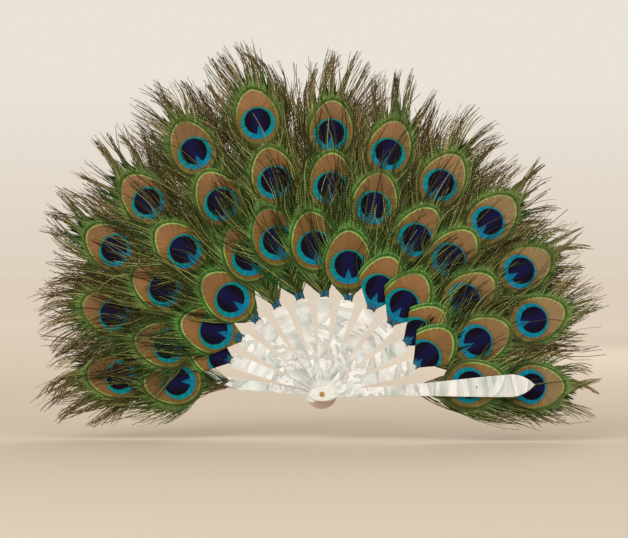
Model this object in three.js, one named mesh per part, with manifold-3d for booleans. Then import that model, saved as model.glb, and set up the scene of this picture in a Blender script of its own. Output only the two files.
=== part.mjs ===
// Folding fan of peacock eye feathers on mother-of-pearl sticks, standing open.
// Millimetres and degrees. +Z is up, and the open fan lies across the XZ plane, seen along +Y.
// The origin is the middle of the rivet on which every stick turns.
// Blade 0 is the rear guard on the left, blades 1 to 11 are the sticks, blade 12 is the front guard.
import * as THREE from "three";
import { mergeVertices } from "three/addons/utils/BufferGeometryUtils.js";
import Module from "manifold-3d";

// The opened fan
const BLADES = 13;
const OPEN_ANGLE = 171.6; // between the two guards
const FRONT_GUARD_ANGLE = 2.8; // above the +X axis

// How the blades are stacked. The sticks spread from the head outwards, as the feathers push them
// apart, and beyond the sticks every blade's feathers lie in flat layers of their own.
const LAYER_GAP = 0.3;
const FEATHER_PITCH = 2.85; // spacing of neighbouring blades' feathers

// Sticks
const STICK_LENGTH = 91.5; // rivet to outer end
const STICK_THICKNESS = 1.2;
const STICK_END_WIDTH = 14;
const STICK_END_BULGE_DEPTH = 0.9;
const STICK_SHOULDER_WIDTH = 8.6;
const STICK_SHOULDER_REACH = 34.5;
const STICK_SHOULDER_LENGTH = 5.5;
const STICK_GORGE_WIDTH = 6.4; // just under the shoulder
const STICK_WAIST_WIDTH = 4.8; // its narrowest, outside the rivet
const STICK_WAIST_REACH = 9;
const STICK_HEAD_RADIUS = 5.2;
const STICK_HEAD_REACH = 14.7; // rivet to the bottom of the head
const STICK_HEAD_OPEN_ANGLE = 50; // half the open side of the head's arc

// Guards
const GUARD_LENGTH = 200; // rivet to tip
const GUARD_THICKNESS = 2;
const GUARD_BEVEL_WIDTH = 0.35;
const GUARD_NECK_WIDTH = 7.6;
const GUARD_WIDTH = 21.5; // at the shoulder
const GUARD_SHOULDER_REACH = 178;
const GUARD_HEAD_LENGTH = 27.8;
const GUARD_HEAD_WIDTH = 13.8;
const GUARD_HEAD_OFFSET = 1.3; // middle of the oval head from the rivet
const GUARD_BOSS_INSET_WIDTH = 0.8;
const GUARD_BOSS_HEIGHT = 0.5;
const GUARD_SLOT_REACH = 145.5;
const GUARD_SLOT_WIDTH = 1;
const GUARD_SLOT_LENGTH = 3;

// Rivet
const PIN_RADIUS = 1.25;
const PIN_CLEARANCE = 0.35; // the leaning blades need this round the pin
const PIN_SEAT_CLEARANCE = 0.15;
const RIVET_HEAD_RADIUS = 2.5;
const RIVET_HEAD_RIM_HEIGHT = 0.5;
const RIVET_HEAD_HEIGHT = 1.5;
const RIVET_CROWN_RADIUS = 1.5;
const RIVET_BORE_DEPTH = 0.9;

// Feathers, shared by the three tiers
const VANE_THICKNESS = 0.4;
const QUILL_THICKNESS = 0.5;
const QUILL_BASE_WIDTH = 2.4;
const QUILL_TIP_WIDTH = 0.9;
const QUILL_LAP_LENGTH = 7.5; // glued length on the back of the stick
const QUILL_LANE_OFFSET = 3.5; // from the blade's middle line
const QUILL_GLUE_THICKNESS = 0.2; // the layer of glue
const QUILL_STRAIGHT_LENGTH = 1.5; // from the stick's end to where the quill starts to bend
const QUILL_BEND_LENGTH = 12; // from behind the stick into the feather's own layer
const EYE_RELIEF_HEIGHT = 0.05; // the disc above the quill, and the pupil above the disc
const TUFT_WIDTH = 9.5; // blue tuft at the base of the inner feathers
const TUFT_LENGTH = 6.5;

// The eye of a feather, as shares of its bronze disc's width
const DISC_LENGTH_SHARE = 1.18;
const DISC_OFFSET_SHARE = 0.1;
const RIM_SHARE = 0.08;
const PUPIL_WIDTH_SHARE = 0.7;
const PUPIL_LENGTH_SHARE = 0.68;

// Loose barbs, drawn as pointed tufts
const BARB_LEAN_SHARE = 0.46; // of a barb's place round the eye
const STEM_BARB_LEAN_ANGLE = 70;
const STEM_BARB_PITCH = 9;
const STEM_BARB_TAPER_SHARE = 0.14; // each lower barb is shorter by this share
const SIDE_BARB_TAPER_SHARE = 0.3; // by this share an eye's lowest barb is shorter than its top one

// The tiers of feathers. Of the eyes, the farthest lies eyeReachBeyondStick from its stick, and the
// shares give each blade's on that scale, blade 0 first. The lean angles turn an eye off its blade's
// middle line. Barbs go round an eye from its tip down to the lowest angle, eyeBarbs on each side.
const OUTER = {
  name: "outer_feather",
  eyeWidth: 40,
  eyeReachBeyondStick: 174.5,
  barbReach: 76,
  barbLength: 44,
  stemBarbLength: 40,
  eyeBarbs: 8,
  lowestAngle: 140,
  stemBarbs: 2,
  layerShare: 1 / 3,
  laneOffset: QUILL_LANE_OFFSET,
  beyondShares: [0.59, 0.698, 0.858, 0.892, 0.968, 1, 0.896, 0.837, 0.788, 0.779, 0.744, 0.688, 0.608],
  leanAngles: [1.1, -0.8, -0.5, 0.9, 0.7, 0.4, -0.6, 0.3, 0.5, 0.1, 0.4, 2.3, -0.7],
};
const MIDDLE = {
  name: "middle_feather",
  eyeWidth: 41,
  eyeReachBeyondStick: 116.5,
  barbReach: 62,
  barbLength: 34,
  stemBarbLength: 32,
  eyeBarbs: 6,
  lowestAngle: 140,
  stemBarbs: 2,
  layerShare: 0,
  laneOffset: -QUILL_LANE_OFFSET,
  beyondShares: [0.405, 0.538, 0.77, 0.845, 0.98, 0.996, 0.905, 0.802, 0.695, 0.73, 0.613, 0.543, 0.413],
  leanAngles: [1.3, 2.7, 0.9, 2.6, 0.8, -0.3, -1.1, 0.2, -1.2, 0.9, 2.1, 1.7, 0.9],
};
const INNER = {
  name: "inner_feather",
  eyeWidth: 43,
  eyeReachBeyondStick: 59.5,
  barbReach: 48,
  barbLength: 22,
  stemBarbLength: 0,
  eyeBarbs: 5,
  lowestAngle: 90,
  stemBarbs: 0,
  layerShare: -1 / 3,
  laneOffset: 0,
  beyondShares: [0, 0.155, 0.457, 0.563, 0.937, 1, 0.825, 0.556, 0.36, 0.388, 0.249, 0.203, 0],
  leanAngles: [0, -0.1, 4.2, 2.5, 1, 3.6, 4.2, 4.1, 1.4, 2.1, 1.1, 3.3, 0],
};

// Facets
const BEND_STEPS = 4;
const DISC_SIDES = 11;
const PUPIL_SIDES = 8;
const HOLE_SIDES = 12;
const HEAD_ARC_STEPS = 6;
const END_ARC_STEPS = 3;
const GUARD_SIDE_STEPS = 9;
const GUARD_TIP_STEPS = 4;
const OVAL_SIDES = 18;
const RIVET_FACETS = 8;
const CUT_OVERRUN_LENGTH = 5;
const MERGE_DISTANCE = 1e-4;

// Colours
const PEARL = new THREE.MeshStandardMaterial({ color: 0xe9e6dc, roughness: 0.22, metalness: 0 });
const GOLD = new THREE.MeshStandardMaterial({ color: 0xc9973a, roughness: 0.25, metalness: 1 });
const OUTER_GREEN = new THREE.MeshStandardMaterial({ color: 0x5b5a2a, roughness: 0.6, metalness: 0 });
const MIDDLE_GREEN = new THREE.MeshStandardMaterial({ color: 0x4d6b2a, roughness: 0.55, metalness: 0 });
const INNER_BLUE = new THREE.MeshStandardMaterial({ color: 0x1f6f78, roughness: 0.5, metalness: 0 });

const LAST = BLADES - 1;
const MIDDLE_BLADE = LAST / 2;
const BLADE_STEP = OPEN_ANGLE / LAST;
const HEAD_PITCH = STICK_THICKNESS + LAYER_GAP;

const wasm = await Module();
wasm.setup();

const radians = THREE.MathUtils.degToRad;

// A closed three.js geometry as a manifold-3d solid
function solidOf(geometry) {
  const bare = geometry.index ? geometry.toNonIndexed() : geometry.clone();
  bare.deleteAttribute("normal");
  bare.deleteAttribute("uv");
  const merged = mergeVertices(bare, MERGE_DISTANCE);
  const vertProperties = merged.attributes.position.array;
  const triVerts = new Uint32Array(merged.index.array);
  return new wasm.Manifold(new wasm.Mesh({ numProp: 3, vertProperties, triVerts }));
}

function geometryOf(solid) {
  const mesh = solid.getMesh();
  const geometry = new THREE.BufferGeometry();
  geometry.setAttribute("position", new THREE.BufferAttribute(new Float32Array(mesh.vertProperties), 3));
  geometry.setIndex(new THREE.BufferAttribute(new Uint32Array(mesh.triVerts), 1));
  return geometry;
}

const joined = (geometries) =>
  geometryOf(geometries.map(solidOf).reduce((whole, piece) => whole.add(piece)));

const cut = (geometry, tools) =>
  geometryOf(tools.map(solidOf).reduce((left, tool) => left.subtract(tool), solidOf(geometry)));

// A flat plate with its outline in the blade's plane, x along the blade and y across it,
// from front to back along the world's Y.
function plate(shape, front, back, bevel = 0) {
  const geometry = new THREE.ExtrudeGeometry(shape, {
    depth: back - front - 2 * bevel,
    bevelEnabled: bevel > 0,
    bevelThickness: bevel,
    bevelSize: bevel,
    bevelOffset: -bevel,
    bevelSegments: 1,
    steps: 1,
  });
  geometry.rotateX(Math.PI / 2);
  return geometry.translate(0, back - bevel, 0);
}

function oval(length, width, sides, centre = 0) {
  const points = [];
  for (let i = 0; i < sides; i++) {
    const turn = (2 * Math.PI * i) / sides;
    points.push(new THREE.Vector2(centre + (length / 2) * Math.cos(turn), (width / 2) * Math.sin(turn)));
  }
  return new THREE.Shape(points);
}

// A hole through a blade for the rivet
function pinHole(reach) {
  const radius = PIN_RADIUS + PIN_CLEARANCE;
  return plate(oval(2 * radius, 2 * radius, HOLE_SIDES), -reach, reach);
}

// Spacing of neighbouring sticks at a distance from the rivet
const layerPitch = (reach) =>
  THREE.MathUtils.mapLinear(
    Math.min(reach, STICK_LENGTH), -STICK_HEAD_REACH, STICK_LENGTH, HEAD_PITCH, FEATHER_PITCH,
  );

const layerOf = (blade) => MIDDLE_BLADE - blade; // positive is towards the back

// Inner face of either guard, as a distance from the middle plane
const GUARD_FACE_AT_HEAD = (MIDDLE_BLADE - 1) * HEAD_PITCH + STICK_THICKNESS / 2 + LAYER_GAP;
const FEATHER_FRONT = QUILL_THICKNESS / 2 + 2 * EYE_RELIEF_HEIGHT;
const BEND_END = STICK_LENGTH + QUILL_STRAIGHT_LENGTH + QUILL_BEND_LENGTH;
const GUARD_FACE_AT_FEATHERS = MIDDLE_BLADE * FEATHER_PITCH + FEATHER_FRONT + 2 * LAYER_GAP;
const GUARD_SLOPE = (GUARD_FACE_AT_FEATHERS - GUARD_FACE_AT_HEAD) / (BEND_END + STICK_HEAD_REACH);
const guardFace = (along) => GUARD_FACE_AT_HEAD + GUARD_SLOPE * (along + STICK_HEAD_REACH);

// Moves each point of a blade's piece along Y by a function of its place in the blade
function leaned(geometry, shift) {
  const place = geometry.attributes.position;
  for (let i = 0; i < place.count; i++) {
    place.setY(i, place.getY(i) + shift(place.getX(i), place.getZ(i)));
  }
  geometry.computeVertexNormals();
  return geometry;
}

// One side of a symmetrical outline is given from head to tip; the other is its mirror image
function mirrored(side) {
  const other = side.filter((p) => Math.abs(p.y) > MERGE_DISTANCE);
  return new THREE.Shape([...side, ...other.reverse().map((p) => new THREE.Vector2(p.x, -p.y))]);
}

function stickOutline() {
  const side = [];
  const headCentre = STICK_HEAD_RADIUS - STICK_HEAD_REACH;
  for (let i = 0; i <= HEAD_ARC_STEPS; i++) {
    const turn = Math.PI - (radians(180 - STICK_HEAD_OPEN_ANGLE) * i) / HEAD_ARC_STEPS;
    side.push(
      new THREE.Vector2(
        headCentre + STICK_HEAD_RADIUS * Math.cos(turn),
        STICK_HEAD_RADIUS * Math.sin(turn),
      ),
    );
  }
  side.push(
    new THREE.Vector2(STICK_WAIST_REACH, STICK_WAIST_WIDTH / 2),
    new THREE.Vector2(STICK_SHOULDER_REACH - STICK_SHOULDER_LENGTH, STICK_GORGE_WIDTH / 2),
    new THREE.Vector2(STICK_SHOULDER_REACH, STICK_SHOULDER_WIDTH / 2),
  );
  for (let i = END_ARC_STEPS; i >= 0; i--) {
    const across = i / END_ARC_STEPS;
    side.push(
      new THREE.Vector2(
        STICK_LENGTH - STICK_END_BULGE_DEPTH * across * across,
        (STICK_END_WIDTH / 2) * across,
      ),
    );
  }
  return mirrored(side);
}

function stick(blade) {
  const half = STICK_THICKNESS / 2;
  const bored = cut(plate(stickOutline(), -half, half), [pinHole(CUT_OVERRUN_LENGTH)]);
  return leaned(bored, (along) => layerOf(blade) * layerPitch(along));
}

// Half widths of a guard's blade at shares of the way from its neck to its shoulder
const GUARD_HALF_SHARES = [0, 0.04, 0.11, 0.28, 0.52, 0.79, 1];
const GUARD_OGIVE_SHARES = [0.6, 0.93]; // of the tip's length and of the half width

function guardOutline() {
  const neck = GUARD_NECK_WIDTH / 2;
  const half = GUARD_WIDTH / 2;
  const stations = GUARD_HALF_SHARES.map(
    (share, i) =>
      new THREE.Vector2(
        (GUARD_SHOULDER_REACH * i) / (GUARD_HALF_SHARES.length - 1),
        neck + (half - neck) * share,
      ),
  );
  const flank = new THREE.SplineCurve(stations).getPoints(GUARD_SIDE_STEPS);
  const point = GUARD_LENGTH - GUARD_SHOULDER_REACH;
  const ogive = new THREE.QuadraticBezierCurve(
    new THREE.Vector2(GUARD_SHOULDER_REACH, half),
    new THREE.Vector2(
      GUARD_SHOULDER_REACH + point * GUARD_OGIVE_SHARES[0],
      half * GUARD_OGIVE_SHARES[1],
    ),
    new THREE.Vector2(GUARD_LENGTH, 0),
  ).getPoints(GUARD_TIP_STEPS);
  return mirrored([...flank, ...ogive.slice(1)]);
}

// A guard lies outside the stack. The front one has its face and raised oval at the front.
function guard(blade) {
  const side = Math.sign(layerOf(blade));
  const inner = Math.min(0, side * GUARD_THICKNESS);
  const outer = Math.max(0, side * GUARD_THICKNESS);
  const face = side * (GUARD_THICKNESS + GUARD_BOSS_HEIGHT);
  const bossLength = GUARD_HEAD_LENGTH - 2 * GUARD_BOSS_INSET_WIDTH;
  const bossWidth = GUARD_HEAD_WIDTH - 2 * GUARD_BOSS_INSET_WIDTH;
  const blank = joined([
    plate(guardOutline(), inner, outer, GUARD_BEVEL_WIDTH),
    plate(
      oval(GUARD_HEAD_LENGTH, GUARD_HEAD_WIDTH, OVAL_SIDES, GUARD_HEAD_OFFSET),
      inner,
      outer,
      GUARD_BEVEL_WIDTH,
    ),
    plate(
      oval(bossLength, bossWidth, OVAL_SIDES, GUARD_HEAD_OFFSET),
      Math.min(side * GUARD_BEVEL_WIDTH, face),
      Math.max(side * GUARD_BEVEL_WIDTH, face),
    ),
  ]);
  const slot = plate(
    oval(GUARD_SLOT_WIDTH, GUARD_SLOT_LENGTH, HOLE_SIDES / 2, GUARD_SLOT_REACH),
    -CUT_OVERRUN_LENGTH,
    CUT_OVERRUN_LENGTH,
  );
  return leaned(cut(blank, [pinHole(CUT_OVERRUN_LENGTH), slot]), (along) => side * guardFace(along));
}

// Where a feather's base and eye lie in its blade's plane
function featherAxis(tier, blade) {
  const reach = STICK_LENGTH + tier.eyeReachBeyondStick * tier.beyondShares[blade];
  const lean = radians(tier.leanAngles[blade]);
  const eye = new THREE.Vector2(reach * Math.cos(lean), reach * Math.sin(lean));
  const base =
    tier === INNER
      ? new THREE.Vector2(STICK_LENGTH + LAYER_GAP, 0)
      : new THREE.Vector2(STICK_LENGTH - QUILL_LAP_LENGTH, tier.laneOffset);
  const along = eye.clone().sub(base).normalize();
  const across = new THREE.Vector2(-along.y, along.x);
  // From the feather's own place, u across and v along from the eye's middle, to the blade's
  const at = (u, v) => eye.clone().addScaledVector(along, v).addScaledVector(across, u);
  return { at, length: eye.distanceTo(base) };
}

const onAxis = (points, at) => new THREE.Shape(points.map(([u, v]) => at(u, v)));

// The disc with its loose barbs: pointed tufts that lean outwards, each between two valleys
function vaneOutline(tier, at, length) {
  const wide = tier.eyeWidth * (0.5 + RIM_SHARE);
  const long = tier.eyeWidth * (DISC_LENGTH_SHARE / 2 + RIM_SHARE);
  const middle = tier.eyeWidth * DISC_OFFSET_SHARE;
  const rim = (turn) => [wide * Math.sin(radians(turn)), middle + long * Math.cos(radians(turn))];
  const tip = ([u, v], lean, size) => [
    u + size * Math.sin(radians(lean)),
    v + size * Math.cos(radians(lean)),
  ];
  const stem = QUILL_BASE_WIDTH / 2;
  const side = [];
  const lowest = rim(tier.lowestAngle)[1];
  const bare = QUILL_LAP_LENGTH + QUILL_STRAIGHT_LENGTH + QUILL_BEND_LENGTH - length; // no barbs below this
  const room = Math.floor((lowest - bare) / STEM_BARB_PITCH);
  for (let i = Math.min(tier.stemBarbs, room); i > 0; i--) {
    const foot = lowest - STEM_BARB_PITCH * (i + 0.5);
    const size = tier.stemBarbLength * (1 - STEM_BARB_TAPER_SHARE * (i - 1));
    side.push([stem, foot]);
    side.push(tip([stem, foot + STEM_BARB_PITCH / 2], STEM_BARB_LEAN_ANGLE, size));
  }
  side.push([stem, lowest - STEM_BARB_PITCH / 2]);
  const spacing = tier.lowestAngle / (tier.eyeBarbs + 0.5);
  for (let i = 0; i < tier.eyeBarbs; i++) {
    const turn = tier.lowestAngle - spacing * (i + 0.5);
    side.push(rim(turn + spacing / 2));
    const size = tier.barbLength * (1 - (SIDE_BARB_TAPER_SHARE * turn) / tier.lowestAngle);
    side.push(tip(rim(turn), turn * BARB_LEAN_SHARE, size));
  }
  side.push(rim(spacing / 2));
  const top = [0, tier.barbReach];
  const mirror = side.map(([u, v]) => [-u, v]);
  return onAxis([...side, top, ...mirror.reverse()].reverse(), at);
}

// Corners of a quill's section, as shares of its width and thickness
const QUILL_SECTION_SHARES = [[-0.5, -0.5], [0.5, -0.5], [0.5, 0.5], [-0.5, 0.5]];

// A quill as a tapered strip with four corners at each of its sections, from its glued foot
// through the bend into the feather's own layer, and on into the eye
function quill(tier, at, length, layer) {
  const end = length + tier.eyeWidth * (DISC_LENGTH_SHARE / 2);
  const marks = [0];
  for (let i = 0; i <= BEND_STEPS && tier !== INNER; i++) {
    marks.push(QUILL_LAP_LENGTH + QUILL_STRAIGHT_LENGTH + (QUILL_BEND_LENGTH * i) / BEND_STEPS);
  }
  marks.push(end);
  const corners = [];
  for (const mark of marks) {
    const width = THREE.MathUtils.lerp(QUILL_BASE_WIDTH, QUILL_TIP_WIDTH, mark / end);
    for (const [across, through] of QUILL_SECTION_SHARES) {
      const corner = at(width * across, mark - length);
      corners.push(corner.x, layer(mark) + QUILL_THICKNESS * through, corner.y);
    }
  }
  const faces = [];
  const quad = (a, b, c, d) => faces.push(a, b, c, a, c, d);
  const sides = QUILL_SECTION_SHARES.length;
  const last = sides * (marks.length - 1);
  for (let i = sides; i <= last; i += sides) {
    for (let j = 0; j < sides; j++) {
      const next = (j + 1) % sides;
      quad(i + j, i + next, i - sides + next, i - sides + j);
    }
  }
  quad(0, 1, 2, 3);
  quad(last + 3, last + 2, last + 1, last);
  const geometry = new THREE.BufferGeometry();
  geometry.setAttribute("position", new THREE.BufferAttribute(new Float32Array(corners), 3));
  geometry.setIndex(faces);
  return geometry;
}

function discOutline(at, length, width, offset, sides) {
  const points = [];
  for (let i = 0; i < sides; i++) {
    const turn = (2 * Math.PI * (i + 0.5)) / sides;
    points.push([-(width / 2) * Math.sin(turn), offset + (length / 2) * Math.cos(turn)]);
  }
  return onAxis(points, at);
}

// The cut blue barbs at the base of an inner feather, with a ragged outer edge
const TUFT_EDGE_SHARES = [1, 0.72, 1.08, 0.8, 1];
const TUFT_BASE_SHARE = 0.8;

function tuftOutline(at, length) {
  const half = TUFT_WIDTH / 2;
  const foot = half * TUFT_BASE_SHARE;
  const edge = TUFT_EDGE_SHARES.map((share, i) => [
    half - (TUFT_WIDTH * i) / (TUFT_EDGE_SHARES.length - 1),
    TUFT_LENGTH * share - length,
  ]);
  return onAxis([[-foot, -length], [foot, -length], ...edge].reverse(), at);
}

// The Y of a feather's quill at a mark along it, from behind the stick into its own layer
function quillLayer(tier, blade) {
  const layer = layerOf(blade);
  const share = tier.layerShare - (blade === 0 ? OUTER.layerShare : 0);
  const own = (layer + share) * FEATHER_PITCH;
  if (tier === INNER) return () => own;
  const seat = QUILL_GLUE_THICKNESS + QUILL_THICKNESS / 2;
  const glued = (reach) =>
    blade === 0 || blade === LAST
      ? Math.sign(layer) * (guardFace(reach) - seat)
      : layer * layerPitch(reach) + STICK_THICKNESS / 2 + seat;
  return (mark) => {
    const past = mark - QUILL_LAP_LENGTH - QUILL_STRAIGHT_LENGTH;
    const bent = THREE.MathUtils.smoothstep(past, 0, QUILL_BEND_LENGTH);
    return THREE.MathUtils.lerp(glued(STICK_LENGTH - QUILL_LAP_LENGTH + mark), own, bent);
  };
}

function feather(tier, blade) {
  const { at, length } = featherAxis(tier, blade);
  const layer = quillLayer(tier, blade);
  const own = layer(length);
  const front = own - QUILL_THICKNESS / 2 - EYE_RELIEF_HEIGHT;
  const back = own + QUILL_THICKNESS / 2 + EYE_RELIEF_HEIGHT;
  const width = tier.eyeWidth;
  const disc = discOutline(
    at, width * DISC_LENGTH_SHARE, width, width * DISC_OFFSET_SHARE, DISC_SIDES,
  );
  const pupil = discOutline(at, width * PUPIL_LENGTH_SHARE, width * PUPIL_WIDTH_SHARE, 0, PUPIL_SIDES);
  const pieces = [
    plate(vaneOutline(tier, at, length), own - VANE_THICKNESS / 2, own + VANE_THICKNESS / 2),
    quill(tier, at, length, layer),
    plate(disc, front, own),
    plate(pupil, front - EYE_RELIEF_HEIGHT, own),
  ];
  if (tier !== INNER) return joined(pieces);
  const clear = new THREE.BoxGeometry(STICK_LENGTH, CUT_OVERRUN_LENGTH, 2 * STICK_LENGTH);
  clear.translate(STICK_LENGTH / 2 + LAYER_GAP, own, 0);
  return cut(joined([...pieces, plate(tuftOutline(at, length), front, back)]), [clear]);
}

// A rivet head, hollow under its crown for the end of the pin, standing on y = 0
function rivetHead(facets) {
  const bore = PIN_RADIUS + PIN_SEAT_CLEARANCE;
  const profile = [
    [0, RIVET_BORE_DEPTH],
    [bore, RIVET_BORE_DEPTH],
    [bore, 0],
    [RIVET_HEAD_RADIUS, 0],
    [RIVET_HEAD_RADIUS, RIVET_HEAD_RIM_HEIGHT],
    [RIVET_CROWN_RADIUS, RIVET_HEAD_HEIGHT],
    [0, RIVET_HEAD_HEIGHT],
  ].map(([radius, y]) => new THREE.Vector2(radius, y));
  return new THREE.LatheGeometry(profile, facets);
}

function namedMesh(name, geometry, material) {
  const mesh = new THREE.Mesh(geometry, material);
  mesh.name = name;
  return mesh;
}

const twoDigits = (blade) => String(blade).padStart(2, "0");

// A blade with the feathers it carries, turned to its place in the open fan
function bladeGroup(blade) {
  const group = new THREE.Group();
  const isGuard = blade === 0 || blade === LAST;
  const guardName = blade === 0 ? "rear_guard" : "front_guard";
  const name = isGuard ? guardName : `stick_${twoDigits(blade)}`;
  group.add(namedMesh(name, isGuard ? guard(blade) : stick(blade), PEARL));
  const tiers = isGuard ? [OUTER, MIDDLE] : [OUTER, MIDDLE, INNER];
  const colours = [OUTER_GREEN, MIDDLE_GREEN, INNER_BLUE];
  tiers.forEach((tier, i) =>
    group.add(namedMesh(`${tier.name}_${twoDigits(blade)}`, feather(tier, blade), colours[i])),
  );
  const angle = FRONT_GUARD_ANGLE + BLADE_STEP * (LAST - blade);
  group.rotation.y = -radians(angle);
  return group;
}

function rivetGroup() {
  const group = new THREE.Group();
  const face = guardFace(0) + GUARD_THICKNESS + GUARD_BOSS_HEIGHT;
  const seat = face + GUARD_SLOPE * RIVET_HEAD_RADIUS + PIN_SEAT_CLEARANCE;
  const reach = seat + RIVET_BORE_DEPTH - PIN_SEAT_CLEARANCE;
  const pin = new THREE.CylinderGeometry(PIN_RADIUS, PIN_RADIUS, 2 * reach, HOLE_SIDES);
  group.add(namedMesh("rivet_pin", pin, GOLD));
  const rear = namedMesh("rear_rivet_head", rivetHead(HOLE_SIDES), GOLD);
  rear.position.y = seat;
  const front = namedMesh("front_rivet_head", rivetHead(RIVET_FACETS), GOLD);
  front.position.y = -seat;
  front.rotation.x = Math.PI;
  group.add(rear, front);
  return group;
}

const fan = new THREE.Group();
for (let blade = 0; blade < BLADES; blade++) fan.add(bladeGroup(blade));
fan.add(rivetGroup());

export default fan;
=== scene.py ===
"""Open folding fan of peacock eye feathers on mother-of-pearl sticks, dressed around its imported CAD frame."""

import math

import bpy
import numpy as np
from bpy.props import FloatProperty, FloatVectorProperty, IntProperty, PointerProperty
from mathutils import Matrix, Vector


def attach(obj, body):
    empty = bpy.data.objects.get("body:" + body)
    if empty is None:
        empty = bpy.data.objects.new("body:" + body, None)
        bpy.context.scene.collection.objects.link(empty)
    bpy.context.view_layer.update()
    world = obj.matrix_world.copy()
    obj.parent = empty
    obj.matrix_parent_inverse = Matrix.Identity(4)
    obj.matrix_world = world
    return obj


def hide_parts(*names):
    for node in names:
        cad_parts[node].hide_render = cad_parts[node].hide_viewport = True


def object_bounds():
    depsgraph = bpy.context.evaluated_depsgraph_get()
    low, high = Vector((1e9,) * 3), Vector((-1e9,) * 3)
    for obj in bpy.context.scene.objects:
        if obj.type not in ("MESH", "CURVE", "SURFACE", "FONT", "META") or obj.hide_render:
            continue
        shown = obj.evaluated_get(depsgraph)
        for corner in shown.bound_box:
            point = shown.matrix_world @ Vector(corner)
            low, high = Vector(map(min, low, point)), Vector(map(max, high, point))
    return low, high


bl_info = {
    "name": "Feather Fan",
    "version": (1, 0, 0),
    "blender": (4, 5, 0),
    "location": "3D View > Sidebar > Feather Fan",
    "description": "Dresses the open feather fan: eye feathers, blue tufts, mother-of-pearl, rivet and stage",
    "category": "Object",
}

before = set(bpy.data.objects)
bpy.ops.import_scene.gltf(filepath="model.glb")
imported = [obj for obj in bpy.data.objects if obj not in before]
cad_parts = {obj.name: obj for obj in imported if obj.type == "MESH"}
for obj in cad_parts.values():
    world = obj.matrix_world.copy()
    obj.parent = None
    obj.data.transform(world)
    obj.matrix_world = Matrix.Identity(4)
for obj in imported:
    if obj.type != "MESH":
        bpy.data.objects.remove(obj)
CAD_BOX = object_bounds()

MM = 0.001

# The fan as its CAD frame has it, in millimetres and degrees
BLADES = 13
LAST = BLADES - 1
BLADE_STEP = 14.3
FRONT_GUARD_ANGLE = 2.8
STICK_HEAD_REACH = 14.7
STICK_LENGTH = 91.5
STICK_THICKNESS = 1.2
LAYER_GAP = 0.3
HEAD_PITCH = STICK_THICKNESS + LAYER_GAP
FEATHER_PITCH = 2.85
QUILL_THICKNESS = 0.5
QUILL_LAP = 7.5
QUILL_LANE = 3.5
GLUE_THICKNESS = 0.2
BEND_START = QUILL_LAP + 1.5  # along the quill from its foot
BEND_LENGTH = 12
GUARD_FACE_AT_HEAD = (LAST / 2 - 1) * HEAD_PITCH + STICK_THICKNESS / 2 + LAYER_GAP
GUARD_FACE_AT_FEATHERS = LAST / 2 * FEATHER_PITCH + 0.35 + 2 * LAYER_GAP
GUARD_SLOPE = (GUARD_FACE_AT_FEATHERS - GUARD_FACE_AT_HEAD) / (
    STICK_LENGTH - QUILL_LAP + BEND_START + BEND_LENGTH + STICK_HEAD_REACH
)

# The three tiers of feathers. Of the eyes, the farthest lies "farthest" from its stick, and the shares
# give each blade's on that scale. The leans turn an eye off its blade's middle line. The covers are the
# share of the barbs in front of an eye that cross it: the others part around it.
OUTER = {
    "name": "outer_feather",
    "farthest": 174.5,
    "shares": (0.59, 0.698, 0.858, 0.892, 0.968, 1, 0.896, 0.837, 0.788, 0.779, 0.744, 0.688, 0.608),
    "leans": (1.1, -0.8, -0.5, 0.9, 0.7, 0.4, -0.6, 0.3, 0.5, 0.1, 0.4, 2.3, -0.7),
    "barb_shares": (1.2, 1.18, 1.14, 1.1, 1.1, 1.1, 1.12, 1.1, 1.05, 0.96, 0.88, 0.84, 0.8),
    "covers": (0.7, 0.7, 0.35, 0.5, 0.09, 0.04, 0.12, 0.08, 0.2, 0.02, 0.07, 0.07, 0.15),
    "layer_share": 1 / 3,
    "lane": QUILL_LANE,
}
MIDDLE = {
    "name": "middle_feather",
    "farthest": 116.5,
    "shares": (0.405, 0.538, 0.77, 0.845, 0.98, 0.996, 0.905, 0.802, 0.695, 0.73, 0.613, 0.543, 0.413),
    "leans": (1.3, 2.7, 0.9, 2.6, 0.8, -0.3, -1.1, 0.2, -1.2, 0.9, 2.1, 1.7, 0.9),
    "covers": (0.4, 0.6, 0.7, 0.45, 0.5, 0.4, 0.45, 0.35, 0.3, 0.45, 0.5, 0.15, 0.1),
    "layer_share": 0,
    "lane": -QUILL_LANE,
}
INNER = {
    "name": "inner_feather",
    "farthest": 59.5,
    "shares": (0, 0.155, 0.457, 0.563, 0.937, 1, 0.825, 0.556, 0.36, 0.388, 0.249, 0.203, 0),
    "leans": (0, -0.1, 4.2, 2.5, 1, 3.6, 4.2, 4.1, 1.4, 2.1, 1.1, 3.3, 0),
    "covers": (0, 0.4, 0.4, 0.06, 0.45, 0.25, 0.4, 0.1, 0.05, 0.05, 0.2, 0.3, 0),
    "layer_share": -1 / 3,
    "lane": 0,
}

# The trimmed wedge of an inner feather, from the end of its stick
WEDGE_FOOT = 5.0
WEDGE_HALF_ANGLE = math.radians(40)

DISC_HALF_LENGTH = 0.65  # of the eye's width
DISC_OFFSET = 0.12
DISC_TAPER = 0.16
FRINGE_REACH = 86  # from the outer eyes' middles
LOWEST_BARB = -37  # the floor is a little lower
RIM_BAND = 1.2  # the dense green band's outer edge, on the bronze disc's own scale
PLACE_SPAN = 6  # eye widths across the whole of the UV square
SHEET_BARBS = 44
SHEET_STEPS = 8
STRAND_STEPS = 6

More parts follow.
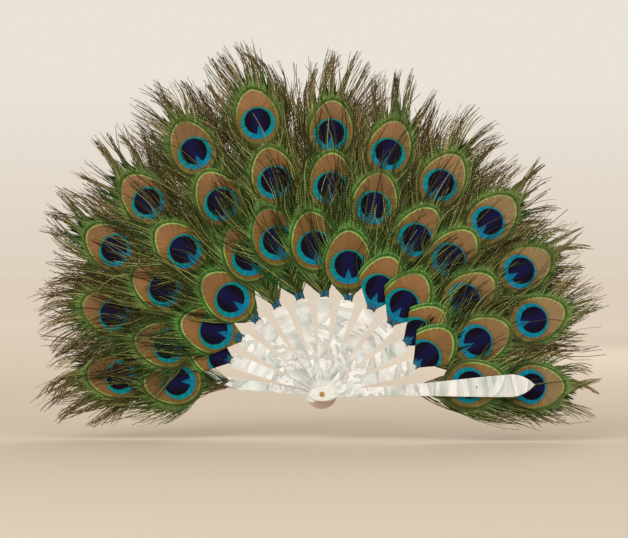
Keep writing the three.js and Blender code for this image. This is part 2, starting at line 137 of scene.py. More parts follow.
# Millimetres. Heights are within a feather's own layer, at the barbs' roots and tips, and they keep it
# clear of its neighbours when the fan folds.
SHEET_CROWN = 0.38
SHEET_RIDGE = 0.07
SHEET_THICKNESS = 0.22
BARB_RIDGE = 0.25
RIM_ROOTS, RIM_TIPS, RIM_WIDTHS = (-0.25, 0.15), (-0.3, 0.2), (0.5, 0.85)
STEM_ROOTS, STEM_TIPS, STEM_WIDTHS = (-0.2, 0.1), (-0.3, 0.2), (0.6, 0.95)
STRAY_ROOTS, STRAY_TIPS, STRAY_WIDTHS = (0.1, 0.2), (0.1, 0.22), (0.6, 0.9)
UNDER_HEIGHTS, UNDER_WIDTHS = (-0.45, -0.35), (1.8, 2.8)
TUFT_ROOTS, TUFT_TIPS, TUFT_WIDTHS = (0.05, 0.2), (0.1, 0.22), (0.5, 0.8)
FIRST_BARB = 0.6  # along an inner feather's quill
SHORTEST_ROW = 3  # along the quill
TUFT_SPACING = 12
TUFT_TURN = 0.3  # radians round the eye's rim
DRAWN_LEAN = 0.62  # how far a drawn tuft's barbs lean to its middle
LOOSE_TURN = 1.9  # radians each side of the tip, where dark and stray barbs start
TIP_TURN = 0.62  # radians each side of the tip, where barbs may draw to one point
FLOOR_DROP = 4 * MM
VIEW_X, VIEW_Z = -7.6 * MM, 118.3 * MM  # the middle of the picture


def body_of_blade(blade):
    return {0: "rear_guard", LAST: "front_guard"}.get(blade, f"blade_{blade:02d}")


def smoothstep(low, high, value):
    t = np.clip((value - low) / (high - low), 0, 1)
    return t * t * (3 - 2 * t)


def stick_pitch(reach):
    """Spacing of neighbouring sticks at a distance from the rivet."""
    share = (np.minimum(reach, STICK_LENGTH) + STICK_HEAD_REACH) / (STICK_LENGTH + STICK_HEAD_REACH)
    return HEAD_PITCH + (FEATHER_PITCH - HEAD_PITCH) * share


def own_layer(tier, blade):
    """How far behind the fan's middle plane a feather lies."""
    share = tier["layer_share"] - (OUTER["layer_share"] if blade == 0 else 0)
    return (LAST / 2 - blade + share) * FEATHER_PITCH


def quill_layer(tier, blade, mark):
    """The same for its quill at a mark along it, which starts glued behind the stick."""
    own = own_layer(tier, blade)
    if tier is INNER:
        return np.full_like(mark, own)
    layer = LAST / 2 - blade
    reach = STICK_LENGTH - QUILL_LAP + mark
    seat = GLUE_THICKNESS + QUILL_THICKNESS / 2
    if blade in (0, LAST):
        face = GUARD_FACE_AT_HEAD + GUARD_SLOPE * (reach + STICK_HEAD_REACH)
        glued = math.copysign(1, layer) * (face - seat)
    else:
        glued = layer * stick_pitch(reach) + STICK_THICKNESS / 2 + seat
    bent = smoothstep(BEND_START, BEND_START + BEND_LENGTH, mark)
    return glued * (1 - bent) + own * bent


class Feather:
    """The place of one feather: u across it and v along it, from the middle of its eye."""

    def __init__(self, tier, blade, sizes):
        self.tier, self.blade, self.sizes = tier, blade, sizes
        self.width = sizes.eye_width / MM
        self.fullness = tier.get("barb_shares", [1] * BLADES)[blade]
        self.barb_length = sizes.barb_length / MM * self.fullness
        self.layer = own_layer(tier, blade)
        reach = STICK_LENGTH + tier["farthest"] * tier["shares"][blade]
        lean = math.radians(tier["leans"][blade])
        self.eye = np.array([reach * math.cos(lean), reach * math.sin(lean)])
        foot = STICK_LENGTH + LAYER_GAP if tier is INNER else STICK_LENGTH - QUILL_LAP
        along = self.eye - np.array([foot, tier["lane"]])
        self.length = float(np.hypot(*along))
        self.first_barb = FIRST_BARB if tier is INNER else BEND_START + BEND_LENGTH
        self.along = along / self.length
        self.across = np.array([-self.along[1], self.along[0]])
        self.turn = math.radians(FRONT_GUARD_ANGLE + BLADE_STEP * (LAST - blade))
        self.droop = -math.cos(self.turn)  # how far the ground lies to its left, from -1 to 1
        self.random = np.random.default_rng(10 * sum(map(ord, tier["name"])) + blade)
        self.points, self.places, self.barbs, self.faces = [], [], [], []
        self.count = 0

    def flat(self, u, v):
        """Places in the fan's plane, from the feather's own millimetres."""
        x = self.eye[0] + self.along[0] * v + self.across[0] * u
        z = self.eye[1] + self.along[1] * v + self.across[1] * u
        c, s = math.cos(self.turn), math.sin(self.turn)
        return x * c - z * s, x * s + z * c

    def world(self, u, v, rise):
        """Metres; rise is towards the front."""
        x, z = self.flat(u, v)
        return np.stack([x, self.layer - rise, z], axis=-1) * MM

    def under(self, x, z):
        """True where places in the fan's plane lie over this feather's eye."""
        c, s = math.cos(self.turn), math.sin(self.turn)
        x, z = x * c + z * s - self.eye[0], z * c - x * s - self.eye[1]
        u = (x * self.across[0] + z * self.across[1]) / (self.width / 2)
        v = x * self.along[0] + z * self.along[1] - DISC_OFFSET * self.width
        v = v / (DISC_HALF_LENGTH * self.width)
        return u**2 + v**2 < RIM_BAND**2

    def inside(self, u, v):
        """True within the trimmed wedge; only inner feathers are trimmed."""
        if self.tier is not INNER:
            return np.ones(np.shape(u), dtype=bool)
        above = v + self.length
        return (above >= 0) & (np.abs(u) <= WEDGE_FOOT / 2 + np.tan(WEDGE_HALF_ANGLE) * above)

    def add(self, u, v, rise, barb, along_barb, faces):
        """Adds points given as equal arrays, with faces that count from the first of them."""
        self.points.append(self.world(u, v, rise).reshape(-1, 3))
        span = self.width * PLACE_SPAN
        self.places.append(np.stack([u / span + 0.5, v / span + 0.5], axis=-1).reshape(-1, 2))
        self.barbs.append(np.stack([barb, along_barb], axis=-1).reshape(-1, 2))
        self.faces += [block + self.count for block in faces]
        self.count += u.size

    def rim(self, turn, grow=1.0):
        """A point of the bronze disc's edge, by its angle round the disc from the tip."""
        v = np.cos(turn) * self.width * DISC_HALF_LENGTH
        narrow = 1 - DISC_TAPER * v / (self.width * DISC_HALF_LENGTH)
        u = np.sin(turn) * self.width / 2 * narrow
        return u * grow, v * grow + self.width * DISC_OFFSET

    def mesh(self, name):
        mesh = bpy.data.meshes.new(name)
        points = np.concatenate(self.points)
        loops = np.concatenate([block.ravel() for block in self.faces])
        sizes = np.concatenate([np.full(len(block), block.shape[1]) for block in self.faces])
        mesh.vertices.add(len(points))
        mesh.vertices.foreach_set("co", points.ravel())
        mesh.loops.add(len(loops))
        mesh.loops.foreach_set("vertex_index", loops.astype(np.int32))
        mesh.polygons.add(len(sizes))
        mesh.polygons.foreach_set("loop_start", (np.cumsum(sizes) - sizes).astype(np.int32))
        mesh.polygons.foreach_set("use_smooth", np.ones(len(sizes), dtype=bool))
        for layer, values in (("Place", self.places), ("Barb", self.barbs)):
            uv = mesh.uv_layers.new(name=layer)
            uv.uv.foreach_set("vector", np.concatenate(values)[loops].astype(np.float32).ravel())
        mesh.update(calc_edges=True)
        mesh.validate()
        return mesh


def strand_path(u, v, turn, bend, length, wave):
    """Points along the barbs, one row a barb, and the direction at each."""
    steps = np.linspace(0, 1, STRAND_STEPS + 1)
    angle = turn[:, None] + bend[:, None] * (0.75 * steps + 0.6 * steps**3) + wave
    stride = length[:, None] / STRAND_STEPS
    du, dv = np.sin(angle) * stride, np.cos(angle) * stride
    u = u[:, None] + np.cumsum(du, axis=1) - du[:, :1]
    v = v[:, None] + np.cumsum(dv, axis=1) - dv[:, :1]
    return u, v, angle


def farthest(x, z, pick):
    """How far from the rivet a barb may reach in its direction; pick varies it from barb to barb."""
    turn = np.arctan2(z, x) % (2 * math.pi)
    blades = np.radians(FRONT_GUARD_ANGLE + BLADE_STEP * (LAST - np.arange(BLADES)))[::-1]
    eyes = (STICK_LENGTH + OUTER["farthest"] * np.array(OUTER["shares"]))[::-1]
    fringe = FRINGE_REACH * (1 - 0.08 * np.abs(np.cos(turn))) * (0.8 + 0.3 * pick)
    return np.interp(turn, blades, eyes) + fringe


def eyes_behind(feather, own):
    """The eyes that a feather's barbs can lie over, and its own one too where asked."""
    others = []
    for tier in (OUTER, MIDDLE, INNER):
        for blade, share in enumerate(tier["shares"]):
            other = Feather(tier, blade, feather.sizes)
            same = tier is feather.tier and blade == feather.blade
            if share and (other.layer > feather.layer or same and own):
                others.append(other)
    return others


def part_around_eyes(feather, u, v, turn, bend, length, own=False, ease=0.0):
    """Leans barbs aside, to part around the eyes behind them, and shortens those that still cross one.
    Neighbours, which come in order, lean much alike."""
    pick = feather.random.uniform(0, 1, len(u))
    others = eyes_behind(feather, own)

    def kept_share(aside):
        cu, cv, _ = strand_path(u, v, turn + aside, bend - 0.5 * aside, length, 0)
        x, z = feather.flat(cu, cv)
        free = (z > LOWEST_BARB + 14 * pick[:, None]) & (np.hypot(x, z) < farthest(x, z, pick[:, None]))
        for other in others:
            stays = pick > other.tier["covers"][other.blade] + ease
            free &= ~(other.under(x, z) & stays[:, None])
        return np.cumprod(free, axis=1).mean(axis=1)

    choices = np.linspace(-0.8, 0.8, 17)
    scores = np.array([kept_share(aside) - 0.3 * abs(aside) for aside in choices])
    aside = choices[scores.argmax(axis=0)]
    window = np.ones(min(7, len(u)))
    aside = np.convolve(aside, window, "same") / np.convolve(np.ones(len(u)), window, "same")
    kept = kept_share(aside)
    return turn + aside, bend - 0.5 * aside, length * np.where(kept > 0.3, kept, 0)


def add_strands(feather, u, v, turn, bend, length, width, rise, lift, shade=0):
    """Tapered three-sided barbs. Each argument has one value a barb: root, direction from the
    feather's tip line, change of direction, length, width, height at the root and at the tip.
    A shade of 1 makes them dark ones, painted shade between the fine barbs."""
    steps = np.linspace(0, 1, STRAND_STEPS + 1)
    phase = feather.random.uniform(0, 2 * math.pi, len(u))[:, None]
    wave = 0.08 * np.sin(phase + 5.5 * steps)
    cu, cv, angle = strand_path(u, v, turn, bend, length, wave)
    kept = np.cumprod(feather.inside(cu, cv), axis=1).mean(axis=1)
    chosen = kept * length > 2
    u, v, turn, bend, wave = u[chosen], v[chosen], turn[chosen], bend[chosen], wave[chosen]
    length, width, rise, lift = (length * kept)[chosen], width[chosen], rise[chosen], lift[chosen]
    count = len(u)
    cu, cv, angle = strand_path(u, v, turn, bend, length, wave)
    cr = rise[:, None] + (lift - rise)[:, None] * steps
    thick = width[:, None] * (1 - (0.95 if shade else 0.45) * steps**2) / 2
    side_u, side_v = np.cos(angle) * thick, -np.sin(angle) * thick
    ring_u = np.stack([cu - side_u, cu + side_u, cu], axis=-1)
    ring_v = np.stack([cv - side_v, cv + side_v, cv], axis=-1)
    ring_r = np.stack([cr, cr, cr + np.minimum(0.9 * thick, BARB_RIDGE)], axis=-1)
    barb = np.broadcast_to(shade + feather.random.uniform(0.01, 0.99, count)[:, None, None], ring_u.shape)
    along = np.broadcast_to(steps[None, :, None] * length[:, None, None] / 100, ring_u.shape)
    index = np.arange(count * (STRAND_STEPS + 1) * 3).reshape(count, STRAND_STEPS + 1, 3)
    quads = []
    for side in range(3):
        after = (side + 1) % 3
        corners = [index[:, :-1, side], index[:, 1:, side], index[:, 1:, after], index[:, :-1, after]]
        quads.append(np.stack(corners, axis=-1).reshape(-1, 4))
    ends = [index[:, 0, :], index[:, -1, ::-1]]
    feather.add(ring_u, ring_v, ring_r, barb, along, [*quads, *ends])


def bezier(curve, t):
    """Points of quadratic curves, one row a curve."""
    shares = ((1 - t) ** 2, 2 * t * (1 - t), t**2)
    return [sum(s * point[axis][:, None] for s, point in zip(shares, curve)) for axis in (0, 1)]


def add_eye_sheet(feather, side):
    """One half of the eye: its barbs lie close, as ridges that fan out from the rachis."""
    width = feather.width
    columns = 2 * SHEET_BARBS + 1
    share = np.linspace(0, 1, columns)
    turn = np.radians(178 * (1 - share))
    end_u, end_v = feather.rim(turn, RIM_BAND)
    low = max(-0.56 * width, 0.5 - feather.length)
    root_v = low + (0.28 * width - low) * share**0.9
    root_u = np.full(columns, -0.25)
    lean = 0.62 * (1 - share) + 0.02
    pull = 0.45 * np.hypot(end_u, end_v - root_v)
    bend_u = root_u + np.sin(lean + 0.35 * (1 - share)) * pull
    bend_v = root_v + np.cos(lean + 0.35 * (1 - share)) * pull
    curve = [(root_u, root_v), (bend_u, bend_v), (end_u, end_v)]
    t = np.broadcast_to(np.linspace(0, 1, 61), (columns, 61))
    kept = np.cumprod(feather.inside(*bezier(curve, t)), axis=1).sum(axis=1) / 61
    t = np.linspace(0, 1, SHEET_STEPS + 1)[None, :]
    u, v = bezier(curve, t * kept[:, None])
    ridge = np.where(np.arange(columns) % 2, SHEET_RIDGE, -SHEET_RIDGE)[:, None]
    from_middle = np.hypot(u / (0.6 * width), (v - 0.1 * width) / (0.75 * width))
    crown = SHEET_CROWN * (1 - np.clip(from_middle, 0, 1) ** 2)
    top = crown + ridge * (0.3 + 0.7 * t)
    low = crown - SHEET_THICKNESS
    u, v = np.stack([u * side, u * side]), np.stack([v, v])
    rise = np.stack([top, low])
    barb = np.broadcast_to((0.5 + 0.5 * side * share)[None, :, None], u.shape)
    along = np.broadcast_to(t[None], u.shape)
    index = np.arange(u.size).reshape(u.shape)
    flip = slice(None, None, -1) if side > 0 else slice(None)

    def patch(grid):
        quads = np.stack([grid[:-1, :-1], grid[1:, :-1], grid[1:, 1:], grid[:-1, 1:]], axis=-1)
        return quads.reshape(-1, 4)

    faces = [patch(index[0])[:, ::-1], patch(index[1])]
    for wall in (index[:, 0, :], index[:, -1, ::-1], index[:, ::-1, 0], index[:, :, -1]):
        faces.append(patch(wall))
    feather.add(u, v, rise, barb, along, [f[:, flip] for f in faces])


def add_rachis(feather):
    """The quill, a tapered six-sided rod that ends behind the eye."""
    end = -0.3 * feather.width
    bend = np.linspace(BEND_START, BEND_START + BEND_LENGTH, 9)
    straight = np.linspace(bend[-1], feather.length + end, 12)
    mark = np.concatenate([[0.0], bend, straight[1:]])
    if feather.tier is INNER:
        mark = np.linspace(0.3, feather.length + end, 10)
    share = mark / mark[-1]
    half_u = 0.85 - 0.5 * share
    half_r = 0.25 - 0.08 * share
    ring = np.linspace(0, 2 * math.pi, 6, endpoint=False)
    u = np.cos(ring)[None, :] * half_u[:, None]
    layer = feather.layer - quill_layer(feather.tier, feather.blade, mark)
    rise = np.sin(ring)[None, :] * half_r[:, None] + layer[:, None]
    v = np.broadcast_to((mark - feather.length)[:, None], u.shape)
    index = np.arange(u.size).reshape(u.shape)
    after = np.roll(index, -1, axis=1)
    quads = np.stack([index[:-1], index[1:], after[1:], after[:-1]], axis=-1).reshape(-1, 4)
    barb = np.full(u.shape, 2.5)
    bare = 0 if feather.tier is INNER else QUILL_LAP + 1
    along = np.broadcast_to((mark > bare)[:, None] * 1.0, u.shape)
    feather.add(u, v, rise, barb, along, [quads, index[:1, :], index[-1:, ::-1]])


def tufts(rng, low, high, spacing):
    """Middles of neighbouring tufts of barbs, unevenly spaced."""
    count = max(2, int((high - low) / spacing))
    return np.sort(np.linspace(low, high, count) + rng.normal(0, 0.3 * spacing, count))


def rim_barbs(feather):
    """The loose barbs that pass the eye's rim. Most stand apart in even arcs, some tufts are drawn
    together to a point, and on some feathers so are all that stand at the tip."""
    rng = feather.random
    count = int(feather.sizes.rim_barbs * feather.fullness)
    lowest = math.radians(150)
    middles = tufts(rng, -lowest, lowest, TUFT_TURN)
    turn = np.linspace(-lowest, lowest, count) + rng.normal(0, 0.01, count)
    tuft = np.abs(turn[:, None] - middles).argmin(axis=1)
    middle = middles[tuft]
    u, v = feather.rim(turn, rng.uniform(1.0, 1.16, count))
    apart = rng.uniform(-0.5, -0.15, len(middles))
    drawn = np.where(rng.uniform(0, 1, len(middles)) < feather.sizes.drawn_share, DRAWN_LEAN, apart)[tuft]
    sway = rng.normal(0, 0.14) + rng.normal(0, 0.12, len(middles))[tuft]
    lean = 0.45 * middle + drawn * (middle - turn) + 0.5 * sway + rng.normal(0, 0.03, count)
    bend = -0.27 * middle + sway + rng.normal(0, 0.05, count)
    if rng.uniform() < feather.sizes.pointed_share:
        tip = np.abs(turn) < TIP_TURN
        lean = np.where(tip, -0.44 * turn + sway, lean)
        bend = np.where(tip, sway, bend)
    lean -= 0.12 * feather.droop
    bend += 0.38 * feather.droop * rng.uniform(0.6, 1.2, len(middles))[tuft]
    long = rng.uniform(0, 1, count) < feather.sizes.long_share * (1 - 0.35 * abs(feather.droop))
    reach = np.where(long, rng.uniform(0.85, 1.05, count), rng.uniform(0.2, 0.7, count))
    reach *= (1 - 0.2 * np.abs(turn) / lowest) * rng.uniform(0.85, 1.05, len(middles))[tuft]
    lean, bend, length = part_around_eyes(feather, u, v, lean, bend, feather.barb_length * reach)
    strand = rng.uniform(*RIM_WIDTHS, count)
    rise, lift = rng.uniform(*RIM_ROOTS, count), rng.uniform(*RIM_TIPS, count)
    add_strands(feather, u, v, lean, bend, length, strand, rise, lift)


def stem_barbs(feather):
    """The loose barbs along the quill below the eye. They leave it in tufts and sweep outwards past the
    eye, and those by the stick's end rise from the bent quill into the feather's own layer."""
    rng = feather.random
    low = QUILL_LAP - 2 if feather.blade in (0, LAST) else feather.first_barb
    high = feather.length - 0.35 * feather.width
    if high - low < SHORTEST_ROW:
        return
    half = max(4, int(feather.sizes.stem_barbs * (high - low) / 100))
    count = 2 * half
    mark = np.tile(np.linspace(low, high, half), 2)
    side = np.repeat([-1.0, 1.0], half)
    share = (mark - low) / (high - low)
    middles = tufts(rng, low, high, TUFT_SPACING)
    tuft = np.abs(mark[:, None] - middles).argmin(axis=1)
    sway = rng.normal(0, 0.1, (len(middles), 2))[tuft, (side > 0).astype(int)]
    if feather.tier is INNER:
        lean = side * (0.66 - 0.14 * share - np.abs(rng.normal(0, 0.06, count)))
        bend = side * rng.normal(-0.3, 0.06, count) + sway
    else:
        lean = side * rng.normal(0.42, 0.035, count) + 0.5 * sway
        bend = side * rng.normal(-0.30, 0.035, count) + sway
    length = feather.sizes.stem_length / MM * (0.75 + 0.25 * share) * rng.uniform(0.65, 1.05, count)
    u, v = side * 0.3, mark - feather.length
    ease = 0.15 if feather.tier is INNER else 0
    lean, bend, length = part_around_eyes(feather, u, v, lean, bend, length, own=True, ease=ease)
    strand = rng.uniform(*STEM_WIDTHS, count)
    rise = feather.layer - quill_layer(feather.tier, feather.blade, mark) + rng.uniform(*STEM_ROOTS, count)
    lift = rng.uniform(*STEM_TIPS, count)
    add_strands(feather, u, v, lean, bend, length, strand, rise, lift)


def under_barbs(feather):
    """Broad barbs at the feather's back, which close the gaps between the fine ones. Their dark colour is
    painted shade, standing in for the shadow between the barbs.
    """
    rng, count = feather.random, feather.sizes.under_barbs
    turn = np.linspace(-LOOSE_TURN, LOOSE_TURN, count)
    u, v = feather.rim(turn, np.full(count, 0.95))
    length = 0.45 * feather.barb_length * rng.uniform(0.4, 1.0, count)
    lean, bend = 0.45 * turn, -0.2 * turn + 0.2 * feather.droop
    painted_shade_barbs(feather, u, v, lean, bend, length, own=False)
    low = feather.first_barb
    high = feather.length - 0.3 * feather.width
    if high - low < SHORTEST_ROW:
        return
    mark = np.tile(np.linspace(low, high, count // 2), 2)
    side = np.repeat([-1.0, 1.0], count // 2)
    lean = side * rng.uniform(0.35, 0.5, len(side))
    length = 0.55 * feather.sizes.stem_length / MM * rng.uniform(0.5, 1.0, len(side))
    painted_shade_barbs(feather, 0.3 * side, mark - feather.length, lean, -0.3 * side, length, own=True)


# Broad barbs behind the fine ones, darkened as painted shade in the gaps between them
def painted_shade_barbs(feather, u, v, lean, bend, length, own):
    lean, bend, length = part_around_eyes(feather, u, v, lean, bend, length, own=own)
    strand = feather.random.uniform(*UNDER_WIDTHS, len(u))
    rise = feather.random.uniform(*UNDER_HEIGHTS, len(u))
    add_strands(feather, u, v, lean, bend, length, strand, rise, rise, shade=1)


def stray_barbs(feather):
    """Long single barbs that wander over the eyes further out."""
    rng, count = feather.random, feather.sizes.stray_barbs
    turn = rng.uniform(-LOOSE_TURN, LOOSE_TURN, count)
    u, v = feather.rim(turn, rng.uniform(0.95, 1.15, count))
    lean = 0.35 * turn + rng.normal(0, 0.2, count)
    bend = -0.2 * turn + rng.normal(0, 0.3, count)
    length = feather.barb_length * rng.uniform(0.6, 0.9, count)
    lean, bend, length = part_around_eyes(feather, u, v, lean, bend, length, ease=0.08)
    strand = rng.uniform(*STRAY_WIDTHS, count)
    rise, lift = rng.uniform(*STRAY_ROOTS, count), rng.uniform(*STRAY_TIPS, count)
    add_strands(feather, u, v, lean, bend, length, strand, rise, lift)


def deselect_all():
    if bpy.context.mode != "OBJECT":
        bpy.ops.object.mode_set(mode="OBJECT")
    bpy.ops.object.select_all(action="DESELECT")


def linear(red, green, blue):
    """A colour written as it is seen on screen, 0 to 255, as Blender wants it."""
    seen = [channel / 255 for channel in (red, green, blue)]
    return tuple(c / 12.92 if c <= 0.04045 else ((c + 0.055) / 1.055) ** 2.4 for c in seen)


class Nodes:
    """Short calls that add nodes to one material."""

    def __init__(self, name):
        self.material = bpy.data.materials.new(name)
        self.material.use_nodes = True
        self.tree = self.material.node_tree
        self.shader = self.tree.nodes["Principled BSDF"]

    def new(self, kind, **settings):
        node = self.tree.nodes.new(kind)
        for key, value in settings.items():
            setattr(node, key, value)
        return node

    def link(self, value, socket):
        if isinstance(value, bpy.types.NodeSocket):
            self.tree.links.new(value, socket)
        else:
            socket.default_value = value

    def math(self, operation, *values):
        node = self.new("ShaderNodeMath", operation=operation)
        for value, socket in zip(values, node.inputs):
            self.link(value, socket)
        return node.outputs[0]

    def times(self, first, second):
        return self.math("MULTIPLY", first, second)

    def plus(self, first, second):
        return self.math("ADD", first, second)

    def minus(self, first, second):
        return self.math("SUBTRACT", first, second)

    def object_place(self):
        return self.new("ShaderNodeTexCoord").outputs["Object"]

    def split(self, vector):
        parts = self.new("ShaderNodeSeparateXYZ")
        self.link(vector, parts.inputs[0])
        return parts.outputs

    def join(self, *values):
        whole = self.new("ShaderNodeCombineXYZ")
        for value, socket in zip(values, whole.inputs):
            self.link(value, socket)
        return whole.outputs[0]

    def step(self, value, low, high):
        """0 below low and 1 above high, or the other way where low is the larger."""
        node = self.new("ShaderNodeMapRange", interpolation_type="SMOOTHSTEP")
        if low > high:
            low, high = high, low
            node.inputs["To Min"].default_value = 1
            node.inputs["To Max"].default_value = 0
        self.link(value, node.inputs["Value"])
        node.inputs["From Min"].default_value = low
        node.inputs["From Max"].default_value = high
        return node.outputs["Result"]

    def mix(self, factor, first, second, blend="MIX"):
        node = self.new("ShaderNodeMix", data_type="RGBA", blend_type=blend)
        self.link(factor, node.inputs["Factor"])
        for value, name in ((first, "A"), (second, "B")):
            socket = [s for s in node.inputs if s.name == name and s.type == "RGBA"][0]
            if isinstance(value, tuple):
                value = (*value, 1)
            self.link(value, socket)
        return [s for s in node.outputs if s.type == "RGBA"][0]

    def ramp(self, value, *stops):
        node = self.new("ShaderNodeValToRGB")
        elements = node.color_ramp.elements
        while len(elements) < len(stops):
            elements.new(0.5)
        for element, (place, colour) in zip(elements, stops):
            element.position = place
            element.color = (*colour, 1)
        self.link(value, node.inputs["Fac"])
        return node.outputs["Color"]

    def noise(self, vector, scale, detail=2, rough=0.5, warp=0.0):
        node = self.new("ShaderNodeTexNoise")
        self.link(vector, node.inputs["Vector"])
        node.inputs["Distortion"].default_value = warp
        node.inputs["Scale"].default_value = scale
        node.inputs["Detail"].default_value = detail
        node.inputs["Roughness"].default_value = rough
        return node.outputs["Fac"]

    def bump(self, height, distance, strength=1.0):
        node = self.new("ShaderNodeBump")
        node.inputs["Strength"].default_value = strength
        node.inputs["Distance"].default_value = distance
        self.link(height, node.inputs["Height"])
        self.link(node.outputs["Normal"], self.shader.inputs["Normal"])

    def uv(self, name):
        parts = self.split(self.new("ShaderNodeUVMap", uv_map=name).outputs["UV"])
        return parts[0], parts[1]

    def set(self, **values):
        for name, value in values.items():
            self.link(value, self.shader.inputs[name.replace("_", " ")])


def oval_distance(n, x, y, half_x, half_y, offset=0.0):
    """1 on the oval's edge, 0 in its middle."""
    across = n.math("DIVIDE", x, half_x)
    along = n.math("DIVIDE", n.minus(y, offset), half_y)
    squares = n.plus(n.times(across, across), n.times(along, along))
    return n.math("SQRT", squares)


def eye_feather_material(name, look, eye):
    """Paints the eye's zones and the loose barbs from the feather's own UV places."""
    n = Nodes(name)
    raw_x, raw_y = n.uv("Place")
    barb, along = n.uv("Barb")
    x = n.times(n.minus(raw_x, 0.5), PLACE_SPAN)
    y = n.times(n.minus(raw_y, 0.5), PLACE_SPAN)

    # Every barb has its own brightness, and the zones' edges are ragged from barb to barb
    grain = n.noise(n.join(n.times(barb, 90), n.times(along, 0.6)), 1.0, detail=3, rough=0.6)
    bead = n.math("SINE", n.plus(n.times(along, 250), n.times(barb, 900)))
    ragged = n.times(n.minus(grain, 0.5), 0.10)

    narrow = n.minus(1.0, n.times(n.minus(y, DISC_OFFSET), 0.24))
    wide_x = n.math("DIVIDE", x, n.math("MAXIMUM", narrow, 0.4))
    disc = n.plus(oval_distance(n, wide_x, y, 0.5, DISC_HALF_LENGTH, DISC_OFFSET), ragged)
    ring = n.plus(oval_distance(n, x, y, 0.43, 0.40, -0.04), n.times(ragged, 0.5))
    heart = n.plus(oval_distance(n, x, y, 0.33, 0.325, 0.005), n.times(ragged, 0.5))

    # Loose barbs: green by the rim, olive and brown further out
    outside = n.ramp(
        n.times(disc, 0.25),
        (0.255, tuple(look.line)),
        (0.266, tuple(look.band)),
        (0.284, tuple(look.band)),
        (0.298, tuple(look.fringe)),
        (0.312, tuple(look.fringe)),
        (0.365, tuple(look.near)),
        (0.520, tuple(look.far)),
        (0.780, tuple(look.end)),
    )
    world_place = n.object_place()
    patch = n.step(n.noise(world_place, 26, detail=2, warp=0.5), 0.47, 0.62)
    rim = n.step(disc, 1.5, 1.2)
    outside = n.mix(n.times(n.times(patch, rim), 0.7), outside, tuple(look.near))
    lower = n.times(n.step(y, 0.35, -0.1), n.step(disc, 1.6, 1.15))
    outside = n.mix(n.times(lower, 0.6), outside, tuple(look.quill))
    own = barb_noise(n, barb)
    light = n.plus(0.3, n.times(grain, 1.4))
    loose = n.step(disc, 1.08, 1.35)
    beading = n.plus(0.85, n.times(bead, 0.35))
    beading = n.times(beading, n.plus(0.3, n.times(n.step(own, 0.15, 0.6), 1.0)))
    beading = n.plus(n.times(beading, loose), n.minus(1.0, loose))
    pale = n.times(loose, n.step(own, 0.80, 0.84))
    outside = n.mix(pale, outside, tuple(look.straw))
    # Painted sheen: in world patches, some single loose barbs are turned emerald as if gleaming
    gleam = n.step(n.noise(world_place, 17, detail=1, warp=0.4), 0.47, 0.56)
    gleam = n.times(gleam, n.step(disc, 2.6, 1.9))
    gleam = n.times(gleam, n.times(loose, n.step(own, 0.34, 0.26)))
    outside = n.mix(n.times(gleam, 0.8), outside, tuple(look.emerald))

    copper = n.ramp(
        n.plus(n.times(y, 0.62), 0.42),
        (0.0, tuple(look.copper_low)),
        (0.45, tuple(look.copper)),
        (0.85, tuple(look.copper_top)),
    )
    tone = n.step(n.noise(world_place, 14, detail=1), 0.38, 0.6)
    copper = n.mix(n.times(tone, 0.55), copper, tuple(look.copper_low))
    flank = n.times(n.step(disc, 0.66, 0.92), n.step(y, 0.5, 0.25))
    copper = n.mix(n.times(flank, 0.85), copper, tuple(look.copper_edge))
    # Painted light and sheen: on the fan's right half the bronze turns lighter and greyer, as where the light
    # falls from the right
    lit_right = n.times(n.step(n.split(world_place)[0], 0.04, 0.2), 0.7)
    copper = n.mix(n.times(lit_right, n.step(y, -0.2, 0.5)), copper, tuple(look.copper_right))
    colour = n.mix(n.step(disc, 0.985, 1.01), copper, outside)

    teal = n.ramp(
        n.plus(n.times(y, 1.1), 0.5),
        (0.05, tuple(eye.ring_low)),
        (0.35, tuple(eye.ring)),
        (0.75, tuple(eye.ring)),
        (1.0, tuple(eye.ring_top)),
    )
    colour = n.mix(n.times(n.step(ring, 1.16, 1.0), 0.5), colour, tuple(look.copper_low))
    # The same painted sheen turns the ring bluer on the fan's right half
    teal = n.mix(lit_right, teal, tuple(eye.ring_low))
    colour = n.mix(n.step(ring, 1.015, 0.97), colour, teal)

    indigo = n.mix(
        n.step(n.math("ABSOLUTE", x), 0.02, 0.24), tuple(eye.heart), tuple(eye.heart_side)
    )
    notch = n.minus(n.times(n.plus(y, 0.08), -0.36), n.math("ABSOLUTE", x))
    notch = n.step(n.plus(notch, n.times(ragged, 0.3)), -0.005, 0.02)
    inside = n.times(n.step(heart, 1.02, 0.96), n.minus(1.0, notch))
    colour = n.mix(inside, colour, indigo)
    blue = n.times(n.step(heart, 1.1, 0.9), notch)
    colour = n.mix(blue, colour, tuple(eye.notch))

    bright = n.times(light, beading)
    # Painted shade: the broad barbs at the back are darkened to stand in for the shadow in the gaps between the
    # fine barbs
    dark = n.times(n.math("GREATER_THAN", barb, 1.0), 0.7)
    bright = n.times(bright, n.minus(1.0, dark))
    shade = n.new("ShaderNodeCombineColor")
    for socket in shade.inputs[:3]:
        n.link(bright, socket)
    colour = n.mix(1.0, colour, shade.outputs[0], blend="MULTIPLY")
    quill = n.math("GREATER_THAN", barb, 2.0)
    quill_colour = n.mix(along, linear(222, 214, 196), tuple(look.quill))
    colour = n.mix(quill, colour, quill_colour)
    n.set(Base_Color=colour, Specular_IOR_Level=0.03)
    n.set(Roughness=n.plus(0.45, n.times(grain, 0.2)))
    n.bump(grain, 0.0002, 0.25)
    return n.material


def barb_noise(n, barb):
    """A number of its own for every barb, from 0 to 1."""
    node = n.new("ShaderNodeTexWhiteNoise", noise_dimensions="1D")
    n.link(n.times(barb, 811.0), node.inputs["W"])
    return node.outputs["Value"]


def add_piece(name, feather, material):
    """Makes one object of what was added to a feather. It rides on the feather's blade."""
    piece = bpy.data.objects.new(name, feather.mesh(name))
    bpy.context.collection.objects.link(piece)
    piece.data.materials.append(material)
    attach(piece, body_of_blade(feather.blade))
    return piece


